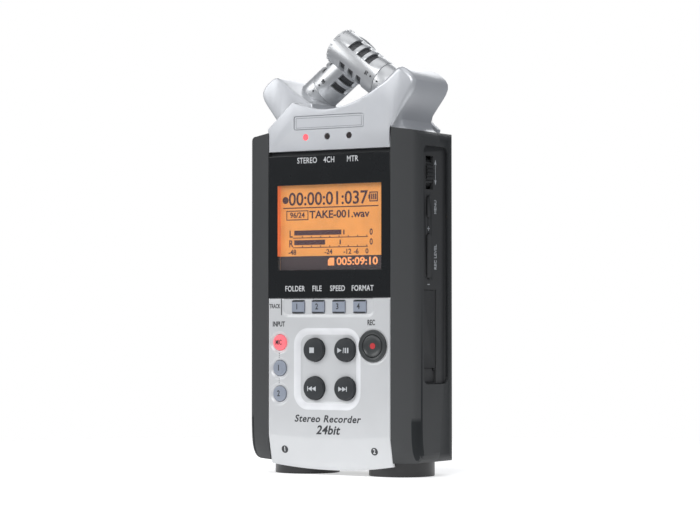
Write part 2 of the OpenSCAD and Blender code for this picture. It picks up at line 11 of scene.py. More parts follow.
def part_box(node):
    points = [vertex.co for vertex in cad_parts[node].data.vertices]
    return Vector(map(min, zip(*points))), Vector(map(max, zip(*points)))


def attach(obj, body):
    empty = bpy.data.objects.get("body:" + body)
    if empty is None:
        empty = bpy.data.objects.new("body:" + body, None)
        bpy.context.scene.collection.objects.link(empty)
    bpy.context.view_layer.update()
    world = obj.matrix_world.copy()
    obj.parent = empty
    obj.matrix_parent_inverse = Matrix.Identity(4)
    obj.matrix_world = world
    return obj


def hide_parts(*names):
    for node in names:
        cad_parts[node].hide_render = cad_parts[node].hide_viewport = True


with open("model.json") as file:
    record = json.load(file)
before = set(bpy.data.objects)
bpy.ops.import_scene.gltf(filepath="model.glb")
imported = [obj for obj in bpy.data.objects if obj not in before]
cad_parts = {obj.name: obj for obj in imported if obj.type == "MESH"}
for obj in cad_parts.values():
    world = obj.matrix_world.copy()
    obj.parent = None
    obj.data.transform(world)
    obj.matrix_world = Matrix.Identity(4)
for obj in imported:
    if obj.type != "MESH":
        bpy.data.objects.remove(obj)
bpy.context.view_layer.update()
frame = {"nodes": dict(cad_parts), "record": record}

MM = 0.001
SCENE = bpy.context.scene
NODES = frame["nodes"]
BODY_OF = {n: b for b, ns in frame["record"]["behaviour"]["bodies"].items() for n in ns}
SLOT_OF = {p["node"]: p["material_slot"] for p in frame["record"]["subparts"]}

FRONT_Y = -17 * MM
MATERIALS = {}


# ---- node materials ----

def shader(name, build):
    """A cached material whose node tree is filled in by build(tree, principled)."""
    if name in MATERIALS:
        return MATERIALS[name]
    mat = bpy.data.materials.new(name)
    mat.use_nodes = True
    tree = mat.node_tree
    build(tree, tree.nodes["Principled BSDF"])
    MATERIALS[name] = mat
    return mat


def object_coords(tree, scale=(1, 1, 1)):
    coord = tree.nodes.new("ShaderNodeTexCoord")
    mapping = tree.nodes.new("ShaderNodeMapping")
    mapping.inputs["Scale"].default_value = scale
    tree.links.new(coord.outputs["Object"], mapping.inputs["Vector"])
    return mapping.outputs["Vector"]


def noise(tree, vector, scale, detail=3.0, rough=0.55):
    node = tree.nodes.new("ShaderNodeTexNoise")
    node.inputs["Scale"].default_value = scale
    node.inputs["Detail"].default_value = detail
    node.inputs["Roughness"].default_value = rough
    tree.links.new(vector, node.inputs["Vector"])
    return node.outputs["Fac"]


def ramp(tree, fac, stops):
    """Colour ramp through (position, rgb) stops."""
    node = tree.nodes.new("ShaderNodeValToRGB")
    band = node.color_ramp
    while len(band.elements) < len(stops):
        band.elements.new(0.5)
    for element, (at, rgb) in zip(band.elements, stops):
        element.position = at
        element.color = (*rgb, 1)
    tree.links.new(fac, node.inputs["Fac"])
    return node.outputs["Color"]


def spread(tree, fac, low, high):
    """A value between low and high that follows fac."""
    node = tree.nodes.new("ShaderNodeMapRange")
    node.inputs["From Min"].default_value = 0.3
    node.inputs["From Max"].default_value = 0.7
    node.inputs["To Min"].default_value = low
    node.inputs["To Max"].default_value = high
    tree.links.new(fac, node.inputs["Value"])
    return node.outputs["Result"]


def shade(rgb, k):
    return tuple(min(1.0, c * k) for c in rgb)


def surface(name, rgb, rough, grain=900, bump=0.15, metal=0.0, vary=0.08, coat=0.0, wear=0.0,
            specular=0.5, patch=60):
    """General moulded, painted or machined surface: uneven colour and gloss, fine bump, worn edges."""
    def build(tree, bsdf):
        vector = object_coords(tree)
        broad = noise(tree, vector, patch, 4)
        fine = noise(tree, vector, grain, 2)
        colour = ramp(tree, broad, [(0.3, shade(rgb, 1 - vary)), (0.7, shade(rgb, 1 + vary))])
        if wear:
            geometry = tree.nodes.new("ShaderNodeNewGeometry")
            edge = ramp(tree, geometry.outputs["Pointiness"], [(0.52, (0, 0, 0)), (0.60, (1, 1, 1))])
            mix = tree.nodes.new("ShaderNodeMix")
            mix.data_type = "RGBA"
            scaled = tree.nodes.new("ShaderNodeMath")
            scaled.operation = "MULTIPLY"
            scaled.inputs[1].default_value = wear
            tree.links.new(edge, scaled.inputs[0])
            tree.links.new(scaled.outputs[0], mix.inputs["Factor"])
            tree.links.new(colour, mix.inputs["A"])
            mix.inputs["B"].default_value = (*[c * 0.6 + 0.3 for c in rgb], 1)
            colour = mix.outputs["Result"]
        tree.links.new(colour, bsdf.inputs["Base Color"])
        tree.links.new(spread(tree, broad, rough * 0.88, rough * 1.12), bsdf.inputs["Roughness"])
        bsdf.inputs["Metallic"].default_value = metal
        bsdf.inputs["Coat Weight"].default_value = coat
        bsdf.inputs["Coat Roughness"].default_value = 0.05
        bsdf.inputs["Specular IOR Level"].default_value = specular
        if bump:
            node = tree.nodes.new("ShaderNodeBump")
            node.inputs["Strength"].default_value = bump
            node.inputs["Distance"].default_value = 0.00005
            tree.links.new(fine, node.inputs["Height"])
            tree.links.new(node.outputs["Normal"], bsdf.inputs["Normal"])
    return shader(name, build)


def glowing(name, rgb, strength, rough=0.3):
    """A lit translucent piece, a little brighter towards some spots."""
    def build(tree, bsdf):
        broad = noise(tree, object_coords(tree), 220, 2)
        colour = ramp(tree, broad, [(0.3, shade(rgb, 0.93)), (0.7, shade(rgb, 1.05))])
        tree.links.new(colour, bsdf.inputs["Base Color"])
        tree.links.new(colour, bsdf.inputs["Emission Color"])
        bsdf.inputs["Emission Strength"].default_value = strength
        tree.links.new(spread(tree, broad, rough * 0.9, rough * 1.1), bsdf.inputs["Roughness"])
    return shader(name, build)


def clear(name):
    def build(tree, bsdf):
        fac = noise(tree, object_coords(tree), 150, 2)
        tree.links.new(spread(tree, fac, 0.02, 0.05), bsdf.inputs["Roughness"])
        bsdf.inputs["Base Color"].default_value = (1, 1, 1, 1)
        bsdf.inputs["Alpha"].default_value = 0.03
        bsdf.inputs["Specular IOR Level"].default_value = 0.2
    mat = shader(name, build)
    mat.surface_render_method = "BLENDED"
    return mat


def mesh_weave(name, rgb):
    """Fine woven wire, as two crossed waves."""
    def build(tree, bsdf):
        vector = object_coords(tree)
        heights = []
        for direction in ("X", "Z"):
            wave = tree.nodes.new("ShaderNodeTexWave")
            wave.bands_direction = direction
            wave.inputs["Scale"].default_value = 900
            wave.inputs["Distortion"].default_value = 0.3
            tree.links.new(vector, wave.inputs["Vector"])
            heights.append(wave.outputs["Fac"])
        both = tree.nodes.new("ShaderNodeMath")
        both.operation = "MULTIPLY"
        for i in (0, 1):
            tree.links.new(heights[i], both.inputs[i])
        colour = ramp(tree, both.outputs[0], [(0.05, shade(rgb, 0.3)), (0.6, shade(rgb, 1.6))])
        tree.links.new(colour, bsdf.inputs["Base Color"])
        bsdf.inputs["Metallic"].default_value = 0.8
        bsdf.inputs["Roughness"].default_value = 0.45
        node = tree.nodes.new("ShaderNodeBump")
        node.inputs["Strength"].default_value = 0.6
        node.inputs["Distance"].default_value = 0.0001
        tree.links.new(both.outputs[0], node.inputs["Height"])
        tree.links.new(node.outputs["Normal"], bsdf.inputs["Normal"])
    return shader(name, build)


SLOT_MATERIAL = {
    "shell_charcoal": lambda: surface("shell_charcoal", (0.0095, 0.0115, 0.013), 0.6, 2600, 0.30,
                                      wear=0.15, specular=0.25),
    "inset_black": lambda: surface("inset_black", (0.0165, 0.0175, 0.0185), 0.55, 2200, 0.2, wear=0.1,
                                   specular=0.3),
    "cover_gloss_black": lambda: surface("cover_gloss_black", (0.010, 0.011, 0.012), 0.16, 300, 0.01,
                                         coat=0.15, vary=0.04, specular=0.3),
    "window_clear": lambda: clear("window_clear"),
    "panel_silver": lambda: surface("panel_silver", (0.60, 0.61, 0.62), 0.38, 3200, 0.10, metal=0.25,
                                    vary=0.02, wear=0.3),
    "guard_silver": lambda: surface("guard_silver", (0.62, 0.635, 0.66), 0.33, 3000, 0.10, metal=0.45,
                                    vary=0.02, wear=0.3),
    "mic_metal": lambda: surface("mic_metal", (0.62, 0.63, 0.64), 0.36, 2600, 0.08, metal=0.75,
                                 vary=0.03, wear=0.3),
    "mic_mesh_dark": lambda: mesh_weave("mic_mesh_dark", (0.16, 0.16, 0.165)),
    "key_charcoal": lambda: surface("key_charcoal", (0.024, 0.027, 0.030), 0.5, 1800, 0.2, wear=0.15,
                                    specular=0.4),
    "key_blue_grey": lambda: surface("key_blue_grey", (0.27, 0.30, 0.36), 0.3, 900, 0.05, coat=0.3),
    "key_lit_red": lambda: glowing("key_lit_red", (0.90, 0.16, 0.19), 0.35),
    "ring_smoke": lambda: surface("ring_smoke", (0.036, 0.040, 0.041), 0.34, 900, 0.05, coat=0.1),
    "led_lit": lambda: glowing("led_lit", (1.0, 0.10, 0.12), 0.9, 0.2),
    "led_dark": lambda: surface("led_dark", (0.020, 0.012, 0.012), 0.2, 600, 0.02, coat=0.5),
    "lcd_amber": lambda: glowing("lcd_amber", (0.80, 0.30, 0.045), 0.12, 0.5),
    "steel": lambda: surface("steel", (0.50, 0.50, 0.51), 0.35, 1800, 0.1, metal=0.9),
    "screw_dark": lambda: surface("screw_dark", (0.06, 0.06, 0.065), 0.4, 1800, 0.1, metal=0.8, wear=0.5),
    "brass": lambda: surface("brass", (0.62, 0.42, 0.17), 0.3, 1500, 0.1, metal=1.0),
    "board_green": lambda: surface("board_green", (0.015, 0.10, 0.045), 0.35, 800, 0.1, coat=0.3),
    "socket_black": lambda: surface("socket_black", (0.014, 0.014, 0.015), 0.35, 1800, 0.12, wear=0.2),
    "cell_wrap": lambda: surface("cell_wrap", (0.06, 0.14, 0.10), 0.3, 700, 0.05, coat=0.4),
    "card_blue": lambda: surface("card_blue", (0.02, 0.035, 0.10), 0.4, 1200, 0.1),
    "speaker_dark": lambda: surface("speaker_dark", (0.03, 0.03, 0.032), 0.7, 900, 0.3),
}


def white_print():
    return surface("print_white", (0.62, 0.63, 0.64), 0.5, 1500, 0.05, vary=0.03)


# dark ink for real print, also used for painted shade lines on the track keys and at the track-key tray's
# edge
def dark_print_and_shade():
    return surface("print_dark_and_shade", (0.030, 0.032, 0.036), 0.5, 1500, 0.05, vary=0.03)


def grey_print():
    return surface("print_grey", (0.46, 0.48, 0.50), 0.5, 1500, 0.05)


def lcd_ink():
    return surface("lcd_ink", (0.055, 0.010, 0.016), 0.5, 900, 0.02, vary=0.05, specular=0.2)


# ---- mesh helpers ----

def add_piece(name, mesh, body, mat, replaces=()):
    piece = bpy.data.objects.new(name, mesh)
    SCENE.collection.objects.link(piece)
    mesh.materials.clear()
    mesh.materials.append(mat)
    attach(piece, body)
    if replaces:
        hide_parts(*replaces)
    return piece


def smooth(mesh, angle=35):
    for polygon in mesh.polygons:
        polygon.use_smooth = True
    mesh.set_sharp_from_angle(angle=math.radians(angle))


def baked(obj):
    """The object's mesh with its modifiers applied, and the object removed."""
    depsgraph = bpy.context.evaluated_depsgraph_get()
    mesh = bpy.data.meshes.new_from_object(obj.evaluated_get(depsgraph))
    bpy.data.objects.remove(obj)
    return mesh


def flattened(mesh):
    """Faces square to an axis are shaded flat, so that holes in them leave no streaks."""
    for name in [a.name for a in mesh.attributes if a.name == "custom_normal"]:
        mesh.attributes.remove(mesh.attributes[name])
    for face in mesh.polygons:
        if max(abs(c) for c in face.normal) > 0.9999 and face.area > 0.8 * MM * MM:
            face.use_smooth = False


def bevelled(mesh, width, segments=3, angle=32):
    obj = bpy.data.objects.new("work", mesh)
    SCENE.collection.objects.link(obj)
    mod = obj.modifiers.new("bevel", "BEVEL")
    mod.width = width
    mod.segments = segments
    mod.limit_method = "ANGLE"
    mod.angle_limit = math.radians(angle)
    mod.use_clamp_overlap = True
    bpy.context.view_layer.update()
    return baked(obj)


def refined(node, width=0.25, segments=3, mat=None, angle=32, shape=None):
    """A CAD node's shape with welded faces and softened edges, standing for that node."""
    mesh = NODES[node].data.copy()
    bm = bmesh.new()
    bm.from_mesh(mesh)
    bmesh.ops.remove_doubles(bm, verts=bm.verts, dist=2e-6)
    bmesh.ops.dissolve_limit(bm, angle_limit=math.radians(0.6), verts=bm.verts, edges=bm.edges)
    if shape:
        shape(bm)
    bm.to_mesh(mesh)
    bm.free()
    for name in [a.name for a in mesh.attributes if a.name == "custom_normal"]:
        mesh.attributes.remove(mesh.attributes[name])
    if width:
        mesh = bevelled(mesh, width * MM, segments, angle)
    smooth(mesh)
    flattened(mesh)
    slot = SLOT_OF[node]
    return add_piece(node + "_finish", mesh, BODY_OF[node], mat or SLOT_MATERIAL[slot](),
                     [node])


def text_mesh(words, size, squeeze=1.0, depth=0.03, bold=0.0, lean=0.0, align="CENTER", gap=1.0):
    """Lettering as a mesh in its own XY plane, size being the cap height in millimetres."""
    curve = bpy.data.curves.new("words", "FONT")
    curve.body = words
    curve.size = size / 0.73 * MM
    curve.align_x = align
    curve.align_y = "CENTER"
    curve.extrude = depth * MM
    curve.offset = bold * MM
    curve.resolution_u = 3
    curve.space_character = gap
    obj = bpy.data.objects.new("words", curve)
    SCENE.collection.objects.link(obj)
    bpy.context.view_layer.update()
    mesh = baked(obj)
    mesh.transform(Matrix(((squeeze, lean, 0, 0), (0, 1, 0, 0), (0, 0, 1, 0), (0, 0, 0, 1))))
    return mesh


def flat_mesh(points, depth=0.03):
    """A thin plate with the given outline, in millimetres, in its own XY plane."""
    mesh = bpy.data.meshes.new("flat")
    bm = bmesh.new()
    face = bm.faces.new([bm.verts.new((x * MM, y * MM, -depth * MM)) for x, y in points])
    bm.normal_update()
    if face.normal.z < 0:
        face.normal_flip()
    made = bmesh.ops.extrude_face_region(bm, geom=[face])
    tops = [v for v in made["geom"] if isinstance(v, bmesh.types.BMVert)]
    bmesh.ops.translate(bm, verts=tops, vec=(0, 0, 2 * depth * MM))
    bmesh.ops.recalc_face_normals(bm, faces=bm.faces)
    bm.to_mesh(mesh)
    bm.free()
    return mesh


def oblong(x0, y0, x1, y1):
    return [(x0, y0), (x1, y0), (x1, y1), (x0, y1)]


def ring_points(r, count=28, cx=0.0, cy=0.0, start=0.0, end=360.0):
    step = (end - start) / count
    return [(cx + r * math.cos(math.radians(start + i * step)),
             cy + r * math.sin(math.radians(start + i * step))) for i in range(count)]


def frame_bars(x0, y0, x1, y1, t):
    """Four bars of thickness t that outline a rectangle."""
    return [oblong(x0, y0, x1, y0 + t), oblong(x0, y1 - t, x1, y1),
            oblong(x0, y0 + t, x0 + t, y1 - t), oblong(x1 - t, y0 + t, x1, y1 - t)]


FACE_FRONT = Matrix.Rotation(math.radians(90), 4, "X")
FACE_RIGHT = Matrix.Rotation(math.radians(90), 4, "Z") @ FACE_FRONT
FACE_LEFT = Matrix.Rotation(math.radians(-90), 4, "Z") @ FACE_FRONT


class Prints:
    """Marks that share a body and an ink, joined into one piece."""

    def __init__(self, name, body, mat, turn=FACE_FRONT):
        self.name, self.body, self.mat, self.turn = name, body, mat, turn
        self.bm = bmesh.new()

    def put(self, mesh, at, spin=0.0, scale=1.0):
        place = (Matrix.Translation(Vector(at) * MM) @ self.turn
                 @ Matrix.Rotation(math.radians(spin), 4, "Z") @ Matrix.Scale(scale, 4))
        mesh.transform(place)
        self.bm.from_mesh(mesh)
        bpy.data.meshes.remove(mesh)

    def shape(self, points, at, spin=0.0, depth=0.03):
        self.put(flat_mesh(points, depth), at, spin)

    def words(self, words, size, at, spin=0.0, **options):
        self.put(text_mesh(words, size, **options), at, spin)

    def done(self):
        mesh = bpy.data.meshes.new(self.name)
        self.bm.to_mesh(mesh)
        self.bm.free()
        return add_piece(self.name, mesh, self.body, self.mat)


# ---- camera, light and floor ----

def floor_paper():
    """Pale paper, lit a little from behind, that fades out well away from the recorder."""
    def build(tree, bsdf):
        vector = object_coords(tree)
        fibres = noise(tree, vector, 40, 3)
        colour = ramp(tree, fibres, [(0.3, (0.88, 0.88, 0.88)), (0.7, (0.92, 0.92, 0.92))])
        tree.links.new(colour, bsdf.inputs["Base Color"])
        tree.links.new(colour, bsdf.inputs["Emission Color"])
        bsdf.inputs["Emission Strength"].default_value = 0.62
        bsdf.inputs["Roughness"].default_value = 0.8
        bsdf.inputs["Specular IOR Level"].default_value = 0.1
        length = tree.nodes.new("ShaderNodeVectorMath")
        length.operation = "LENGTH"
        tree.links.new(vector, length.inputs[0])
        fade = tree.nodes.new("ShaderNodeMapRange")
        fade.interpolation_type = "SMOOTHSTEP"
        fade.inputs["From Min"].default_value = 0.10
        fade.inputs["From Max"].default_value = 0.30
        fade.inputs["To Min"].default_value = 1.0
        fade.inputs["To Max"].default_value = 0.0
        tree.links.new(length.outputs["Value"], fade.inputs["Value"])
        tree.links.new(fade.outputs["Result"], bsdf.inputs["Alpha"])
    return shader("floor_paper", build)


def studio():
    """Camera on the front right, soft light boxes and a pale floor."""
    world = bpy.data.worlds.new("studio")
    world.use_nodes = True
    tree = world.node_tree
    background = tree.nodes["Background"]
    background.inputs["Color"].default_value = (0.27, 0.28, 0.30, 1)
    bright = tree.nodes.new("ShaderNodeBackground")
    bright.inputs["Color"].default_value = (1, 1, 1, 1)
    path = tree.nodes.new("ShaderNodeLightPath")
    mix = tree.nodes.new("ShaderNodeMixShader")
    tree.links.new(path.outputs["Is Camera Ray"], mix.inputs["Fac"])
    tree.links.new(background.outputs[0], mix.inputs[1])
    tree.links.new(bright.outputs[0], mix.inputs[2])
    tree.links.new(mix.outputs[0], tree.nodes["World Output"].inputs["Surface"])
    SCENE.world = world
    SCENE.view_settings.view_transform = "Standard"

    azimuth, distance, height = math.radians(32), 0.840, 0.0521
    pitch, yaw = math.radians(1.7258), math.radians(0.1014)
    camera = bpy.data.objects.new("camera", bpy.data.cameras.new("camera"))
    camera.data.lens = 122.04
    camera.data.sensor_width = 36
    camera.location = (math.sin(azimuth) * distance, -math.cos(azimuth) * distance, height)
    camera.rotation_euler = (math.pi / 2 + pitch, 0, azimuth + yaw)
    camera.data.clip_start = 0.01
    SCENE.collection.objects.link(camera)
    SCENE.camera = camera

    def light_box(name, at, size, power, aim=(0, 0, 0.08)):
        lamp = bpy.data.lights.new(name, "AREA")
        lamp.shape = "RECTANGLE"
        lamp.size, lamp.size_y = size
        lamp.energy = power
        obj = bpy.data.objects.new(name, lamp)
        obj.location = at
        obj.rotation_euler = (Vector(aim) - Vector(at)).to_track_quat("-Z", "Y").to_euler()
        SCENE.collection.objects.link(obj)

    light_box("key_box", (0.30, -1.0, 0.75), (0.6, 0.6), 5.8)
    light_box("left_box", (-0.85, -0.75, 0.6), (0.7, 0.7), 4.7)
    light_box("top_box", (0.1, -0.1, 1.1), (0.9, 0.6), 1.8)
    light_box("side_box", (1.1, 0.25, 0.65), (0.4, 0.5), 0.3)
    light_box("back_box", (-0.5, 0.9, 0.7), (0.8, 0.6), 3)

    mesh = bpy.data.meshes.new("floor")
    bm = bmesh.new()
    bmesh.ops.create_grid(bm, x_segments=8, y_segments=8, size=0.8)
    bm.to_mesh(mesh)
    bm.free()
    floor = bpy.data.objects.new("floor", mesh)
    mesh.materials.append(floor_paper())
    SCENE.collection.objects.link(floor)


# ---- display ----

LCD_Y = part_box("lcd_panel")[0].y / MM
TICKS = 8


def display_picture():
    """What the backlit display shows: a running time, a take name, two meters and the time left."""
    y = LCD_Y - 0.04
    ink = Prints("display_ink", "recorder", lcd_ink())

    def bar(x0, z0, x1, z1, out=ink, lift=0.0):
        out.shape(oblong(x0, z0, x1, z1), (0, y - lift, 0), depth=0.02)

    ink.shape(ring_points(1.25, 24, -19.2, 96.4), (0, y, 0), depth=0.02)
    ink.words("00:00:01:037", 4.7, (-1.5, y, 96.5), squeeze=0.99, depth=0.02, bold=0.09)
    for points in frame_bars(15.6, 95.1, 19.0, 98.5, 0.35):
        ink.shape(points, (0, y, 0), depth=0.02)
    bar(15.2, 96.1, 15.6, 97.5)
    for k in range(3):
        bar(16.3 + 0.8 * k, 95.8, 16.8 + 0.8 * k, 97.8)
    bar(-20.2, 93.45, 19.2, 93.8)
    for points in frame_bars(-18.8, 89.3, -9.6, 92.7, 0.3):
        ink.shape(points, (0, y, 0), depth=0.02)
    ink.words("96/24", 1.9, (-14.2, y, 91.0), squeeze=1.05, depth=0.02, bold=0.05)
    ink.words("TAKE-001.wav", 2.7, (3.2, y, 91.0), squeeze=1.10, depth=0.02, bold=0.08)
    for label, z, level, peak in (("L", 83.95, 4.1, 4.9), ("R", 80.55, -2.6, 3.4)):
        ink.words(label, 2.5, (-16.9, y, z + 0.4), squeeze=0.85, depth=0.02, bold=0.07)
        bar(-15.5, z, level, z + 1.7)
        bar(peak, z, peak + 0.5, z + 1.6)
        bar(-16.0, z - 1.05, 14.9, z - 0.8)
        for k in range(TICKS):
            bar(-12.2 + 3.8 * k, z - 0.8, -11.9 + 3.8 * k, z - 0.3)
        ink.words("0", 2.2, (16.3, y, z + 0.6), squeeze=0.85, depth=0.02, bold=0.06)
    for words, x in (("-48", -16.3), ("-24", -1.2), ("-12", 6.6), ("-6", 10.2), ("0", 14.6)):
        ink.words(words, 1.8, (x, y, 77.95), squeeze=1.0, depth=0.02, bold=0.05)
    ink.done()

    low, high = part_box("display_window")
    band = Prints("display_band", "recorder",
                  surface("lcd_band", (0.032, 0.012, 0.016), 0.5, 700, 0.02, specular=0.2))
    band.shape(oblong(low.x / MM, low.z / MM, high.x / MM, 76.6), (0, y + 0.01, 0), depth=0.015)
    band.done()
    left = Prints("display_time_left", "recorder", glowing("lcd_bright", (0.95, 0.33, 0.10), 0.35))
    left.words("005:09:10", 2.7, (10.6, y - 0.03, 74.5), squeeze=1.16, depth=0.02, bold=0.09)
    left.shape([(-1.4, 73.2), (1.2, 73.2), (1.2, 75.9), (-0.6, 75.9), (-1.4, 75.1)], (0, y - 0.03, 0),
               depth=0.02)
    left.done()

    glow = glowing("lcd_edge", (0.78, 0.16, 0.035), 0.25)
    edge = Prints("display_edge", "recorder", glow, Matrix.Rotation(math.radians(90), 4, "Z") @ FACE_FRONT)
    edge.shape(oblong(-16.85, 76.6, LCD_Y - 0.05, high.z / MM), (low.x / MM + 0.08, 0, 0), depth=0.03)
    edge.done()


# ---- lettering and marks on the case ----

def cover_legends():
    y = FRONT_Y / MM - 0.02
    marks = Prints("cover_legends", "recorder", white_print())
    for words, x in (("STEREO", -8.85), ("4CH", 0.3), ("MTR", 9.9)):
        marks.words(words, 2.1, (x, y, 110.0), squeeze=0.80, depth=0.02, bold=0.03, gap=1.06)
    for words, x in (("FOLDER", -13.9), ("FILE", -4.7), ("SPEED", 3.8), ("FORMAT", 14.0)):
        marks.words(words, 2.0, (x, y, 65.1), squeeze=0.80, depth=0.02, bold=0.03, gap=1.06)
    marks.done()


def panel_legends_and_tray_shade():
    y = FRONT_Y / MM - 0.02
    marks = Prints("panel_legends_and_tray_shade", "recorder", dark_print_and_shade())
    marks.words("TRACK", 1.55, (-22.4, y, 59.0), squeeze=0.66, depth=0.02, bold=0.04)
    marks.words("INPUT", 1.8, (-20.7, y, 52.7), squeeze=0.74, depth=0.02, bold=0.06)
    marks.words("REC", 1.9, (17.5, y, 53.2), squeeze=0.66, depth=0.02, bold=0.07)
    marks.words("Stereo Recorder", 2.5, (-0.3, y, 19.7), squeeze=1.06, lean=0.24, depth=0.02, bold=0.08,
                gap=1.09)
    marks.words("24bit", 3.1, (0.0, y, 15.8), squeeze=1.04, lean=0.24, depth=0.02, bold=0.11, gap=1.05)
    # dark bar along the track-key tray's left edge: painted shadow of the tray edge, drawn in the dark ink;
    # not print
    marks.shape(oblong(-19.75, 55.9, -19.4, 61.7), (0, y, 0), depth=0.02)
    for z in (41.8, 32.8):
        for k in range(3):
            marks.shape(ring_points(0.16, 10, -20.5, z - 0.65 + 0.65 * k), (0, y, 0), depth=0.02)
    marks.done()


def icon(kind):
    """Transport symbols as outlines, in millimetres about the middle of a key."""
    if kind == "stop":
        return [oblong(-0.95, -0.95, 0.95, 0.95)]
    if kind == "play":
        slash = [(0.15, -0.95), (0.42, -0.95), (0.62, 0.95), (0.35, 0.95)]
        return [[(-2.1, -0.9), (-0.35, 0), (-2.1, 0.9)], slash,
                oblong(0.95, -0.9, 1.5, 0.9), oblong(1.9, -0.9, 2.45, 0.9)]
    arrows = [[(-0.1, -0.85), (1.5, 0), (-0.1, 0.85)], [(-1.7, -0.85), (-0.1, 0), (-1.7, 0.85)],
              oblong(1.5, -0.85, 1.8, 0.85)]
    if kind == "rewind":
        return [[(-x, z) for x, z in points] for points in arrows]
    return arrows


# ---- keys ----

def lathe(profile, at, count=56):
    """A closed turned mesh about a line along Y through at = (x, z), from (radius, y) points."""
    bm = bmesh.new()
    rows = []
    for r, y in profile:
        if r == 0:
            rows.append([bm.verts.new((at[0] * MM, y * MM, at[1] * MM))])
        else:
            rows.append([bm.verts.new((x * MM, y * MM, z * MM))
                         for x, z in ring_points(r, count, at[0], at[1])])
    for low, high in zip(rows, rows[1:]):
        for i in range(count):
            j = (i + 1) % count
            if len(low) == 1:
                bm.faces.new((low[0], high[i], high[j]))
            elif len(high) == 1:
                bm.faces.new((low[j], low[i], high[0]))
            else:
                bm.faces.new((low[j], low[i], high[i], high[j]))
    bmesh.ops.recalc_face_normals(bm, faces=bm.faces)
    mesh = bpy.data.meshes.new("lathe")
    bm.to_mesh(mesh)
    bm.free()
    smooth(mesh)
    return mesh


def middle(node):
    low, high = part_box(node)
    return ((low.x + high.x) / 2 / MM, (low.z + high.z) / 2 / MM)


def arc(cx, cy, r, start, end, steps=6):
    """Points on an arc in (radius, y) space, from start to end degrees."""
    return [(cx + r * math.cos(math.radians(start + (end - start) * i / steps)),
             cy + r * math.sin(math.radians(start + (end - start) * i / steps)))
            for i in range(steps + 1)]


FLANGE = [(-14.9, 0), (-14.9, 0.6), (-14.4, 0.6)]


def key_profile(r, top, edge, dome):
    """Profile of a round key: domed face, rounded edge, flange and stem."""
    face = [(r * k / 6 * (1 - edge / r), top - dome * (1 - (k / 6) ** 2)) for k in range(6)]
    rim = arc(r - edge, top + edge, edge, -90, 0)
    return (face + rim + [(r + out, y) for y, out in FLANGE]
            + [(1.2, -14.4), (1.2, -14.1), (0, -14.1)])


def transport_keys():
    for kind in ("stop", "play", "rewind", "forward"):
        node = kind + "_button"
        x, z = middle(node)
        mesh = lathe(key_profile(4.08, -17.55, 0.5, 0.35), (x, z))
        add_piece(kind + "_cap", mesh, BODY_OF[node], SLOT_MATERIAL["key_charcoal"](),
                  [node])
        marks = Prints(kind + "_symbol", BODY_OF[node],
                       surface("key_print", (0.50, 0.52, 0.54), 0.5, 1200, 0.05))
        for points in icon(kind):
            marks.shape(points, (x - 0.25, -17.87, z - 0.15), depth=0.05)
        marks.done()


def record_key():
    node = "record_button"
    x, z = middle(node)
    r = 3.85
    face = [(0, -16.85), (1.2, -16.87), (2.4, -16.95), (3.2, -17.08)]
    mesh = lathe(face + arc(r - 0.35, -16.95, 0.35, -90, 0)
                 + [(r, -14.4), (1.2, -14.4), (1.2, -14.1), (0, -14.1)],
                 (x, z))
    add_piece("record_cap", mesh, BODY_OF[node], SLOT_MATERIAL["ring_smoke"](), [node])
    dot = Prints("record_dot", BODY_OF[node], glowing("record_red", (0.42, 0.035, 0.04), 0.25))
    dot.shape(ring_points(1.05, 28), (x, -16.9, z), depth=0.05)
    dot.done()
    inner, outer = r + 0.15, 5.6
    profile = ([(inner, -16.9)] + arc(inner + 0.25, -17.0, 0.25, 180, 270)
               + [(outer - 0.9, -17.38)] + arc(outer - 0.45, -16.95, 0.45, -90, 0)
               + [(outer, -15.0), (inner, -15.0), (inner, -16.9)])
    mesh = lathe(profile, (x, z), 72)
    bm = bmesh.new()
    bm.from_mesh(mesh)
    bmesh.ops.remove_doubles(bm, verts=bm.verts, dist=1e-7)
    bmesh.ops.recalc_face_normals(bm, faces=bm.faces)
    bm.to_mesh(mesh)
    bm.free()
    smooth(mesh)
    add_piece("record_halo", mesh, "recorder", SLOT_MATERIAL["ring_smoke"](), ["record_ring"])


def input_keys():
    for node, words, slot in (("mic_input_button", "MIC", "key_lit_red"),
                              ("input_1_button", "1", "key_blue_grey"),
                              ("input_2_button", "2", "key_blue_grey")):
        x, z = middle(node)
        mesh = lathe(key_profile(2.75, -17.0, 0.45, 0.10), (x, z))
        add_piece(node.replace("_button", "_cap"), mesh, BODY_OF[node], SLOT_MATERIAL[slot](), [node])
        marks = Prints(node.replace("_button", "_number"), BODY_OF[node], dark_print_and_shade())
        marks.words(words, 1.8 if words == "MIC" else 2.1, (x - 0.25, -17.10, z), depth=0.03, bold=0.05,
                    squeeze=0.62 if words == "MIC" else 0.85)
        marks.done()


def track_keys():
    for k in range(1, 5):
        node = "track_button_%d" % k
        refined(node, 0.35, 4)
        low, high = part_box(node)
        x = (low.x + high.x) / 2 / MM
        marks = Prints("track_number_%d" % k, BODY_OF[node], dark_print_and_shade())
        marks.words(str(k), 2.1, (x - 0.45, low.y / MM - 0.01, 58.8), squeeze=0.85, depth=0.03, bold=0.05)
        # the two dark bars near each key's top and bottom edges are painted shade for the shadowed gaps
        # there; only the number is print
        for z in (56.88, 60.72):
            marks.shape(oblong(x - 2.4, z - 0.17, x + 2.4, z + 0.17), (0, low.y / MM - 0.01, 0), depth=0.02)
        marks.done()


# ---- control panel ----

CHIN_SLOPE = 0.205
RECESS = (-0.55, 37.15, 13.9, 14.4, 6.0)
TRAY = (-0.3, 60.0, 19.1, 4.8, 2.6)


def box_distance(x, z, area):
    """Signed distance from a rectangle with round corners: negative inside."""
    cx, cz, half_x, half_z, r = area
    dx, dz = abs(x - cx) - half_x + r, abs(z - cz) - half_z + r
    return math.hypot(max(dx, 0), max(dz, 0)) + min(max(dx, dz), 0) - r


def ease(t):
    t = min(1.0, max(0.0, t))
    return t * t * (3 - 2 * t)


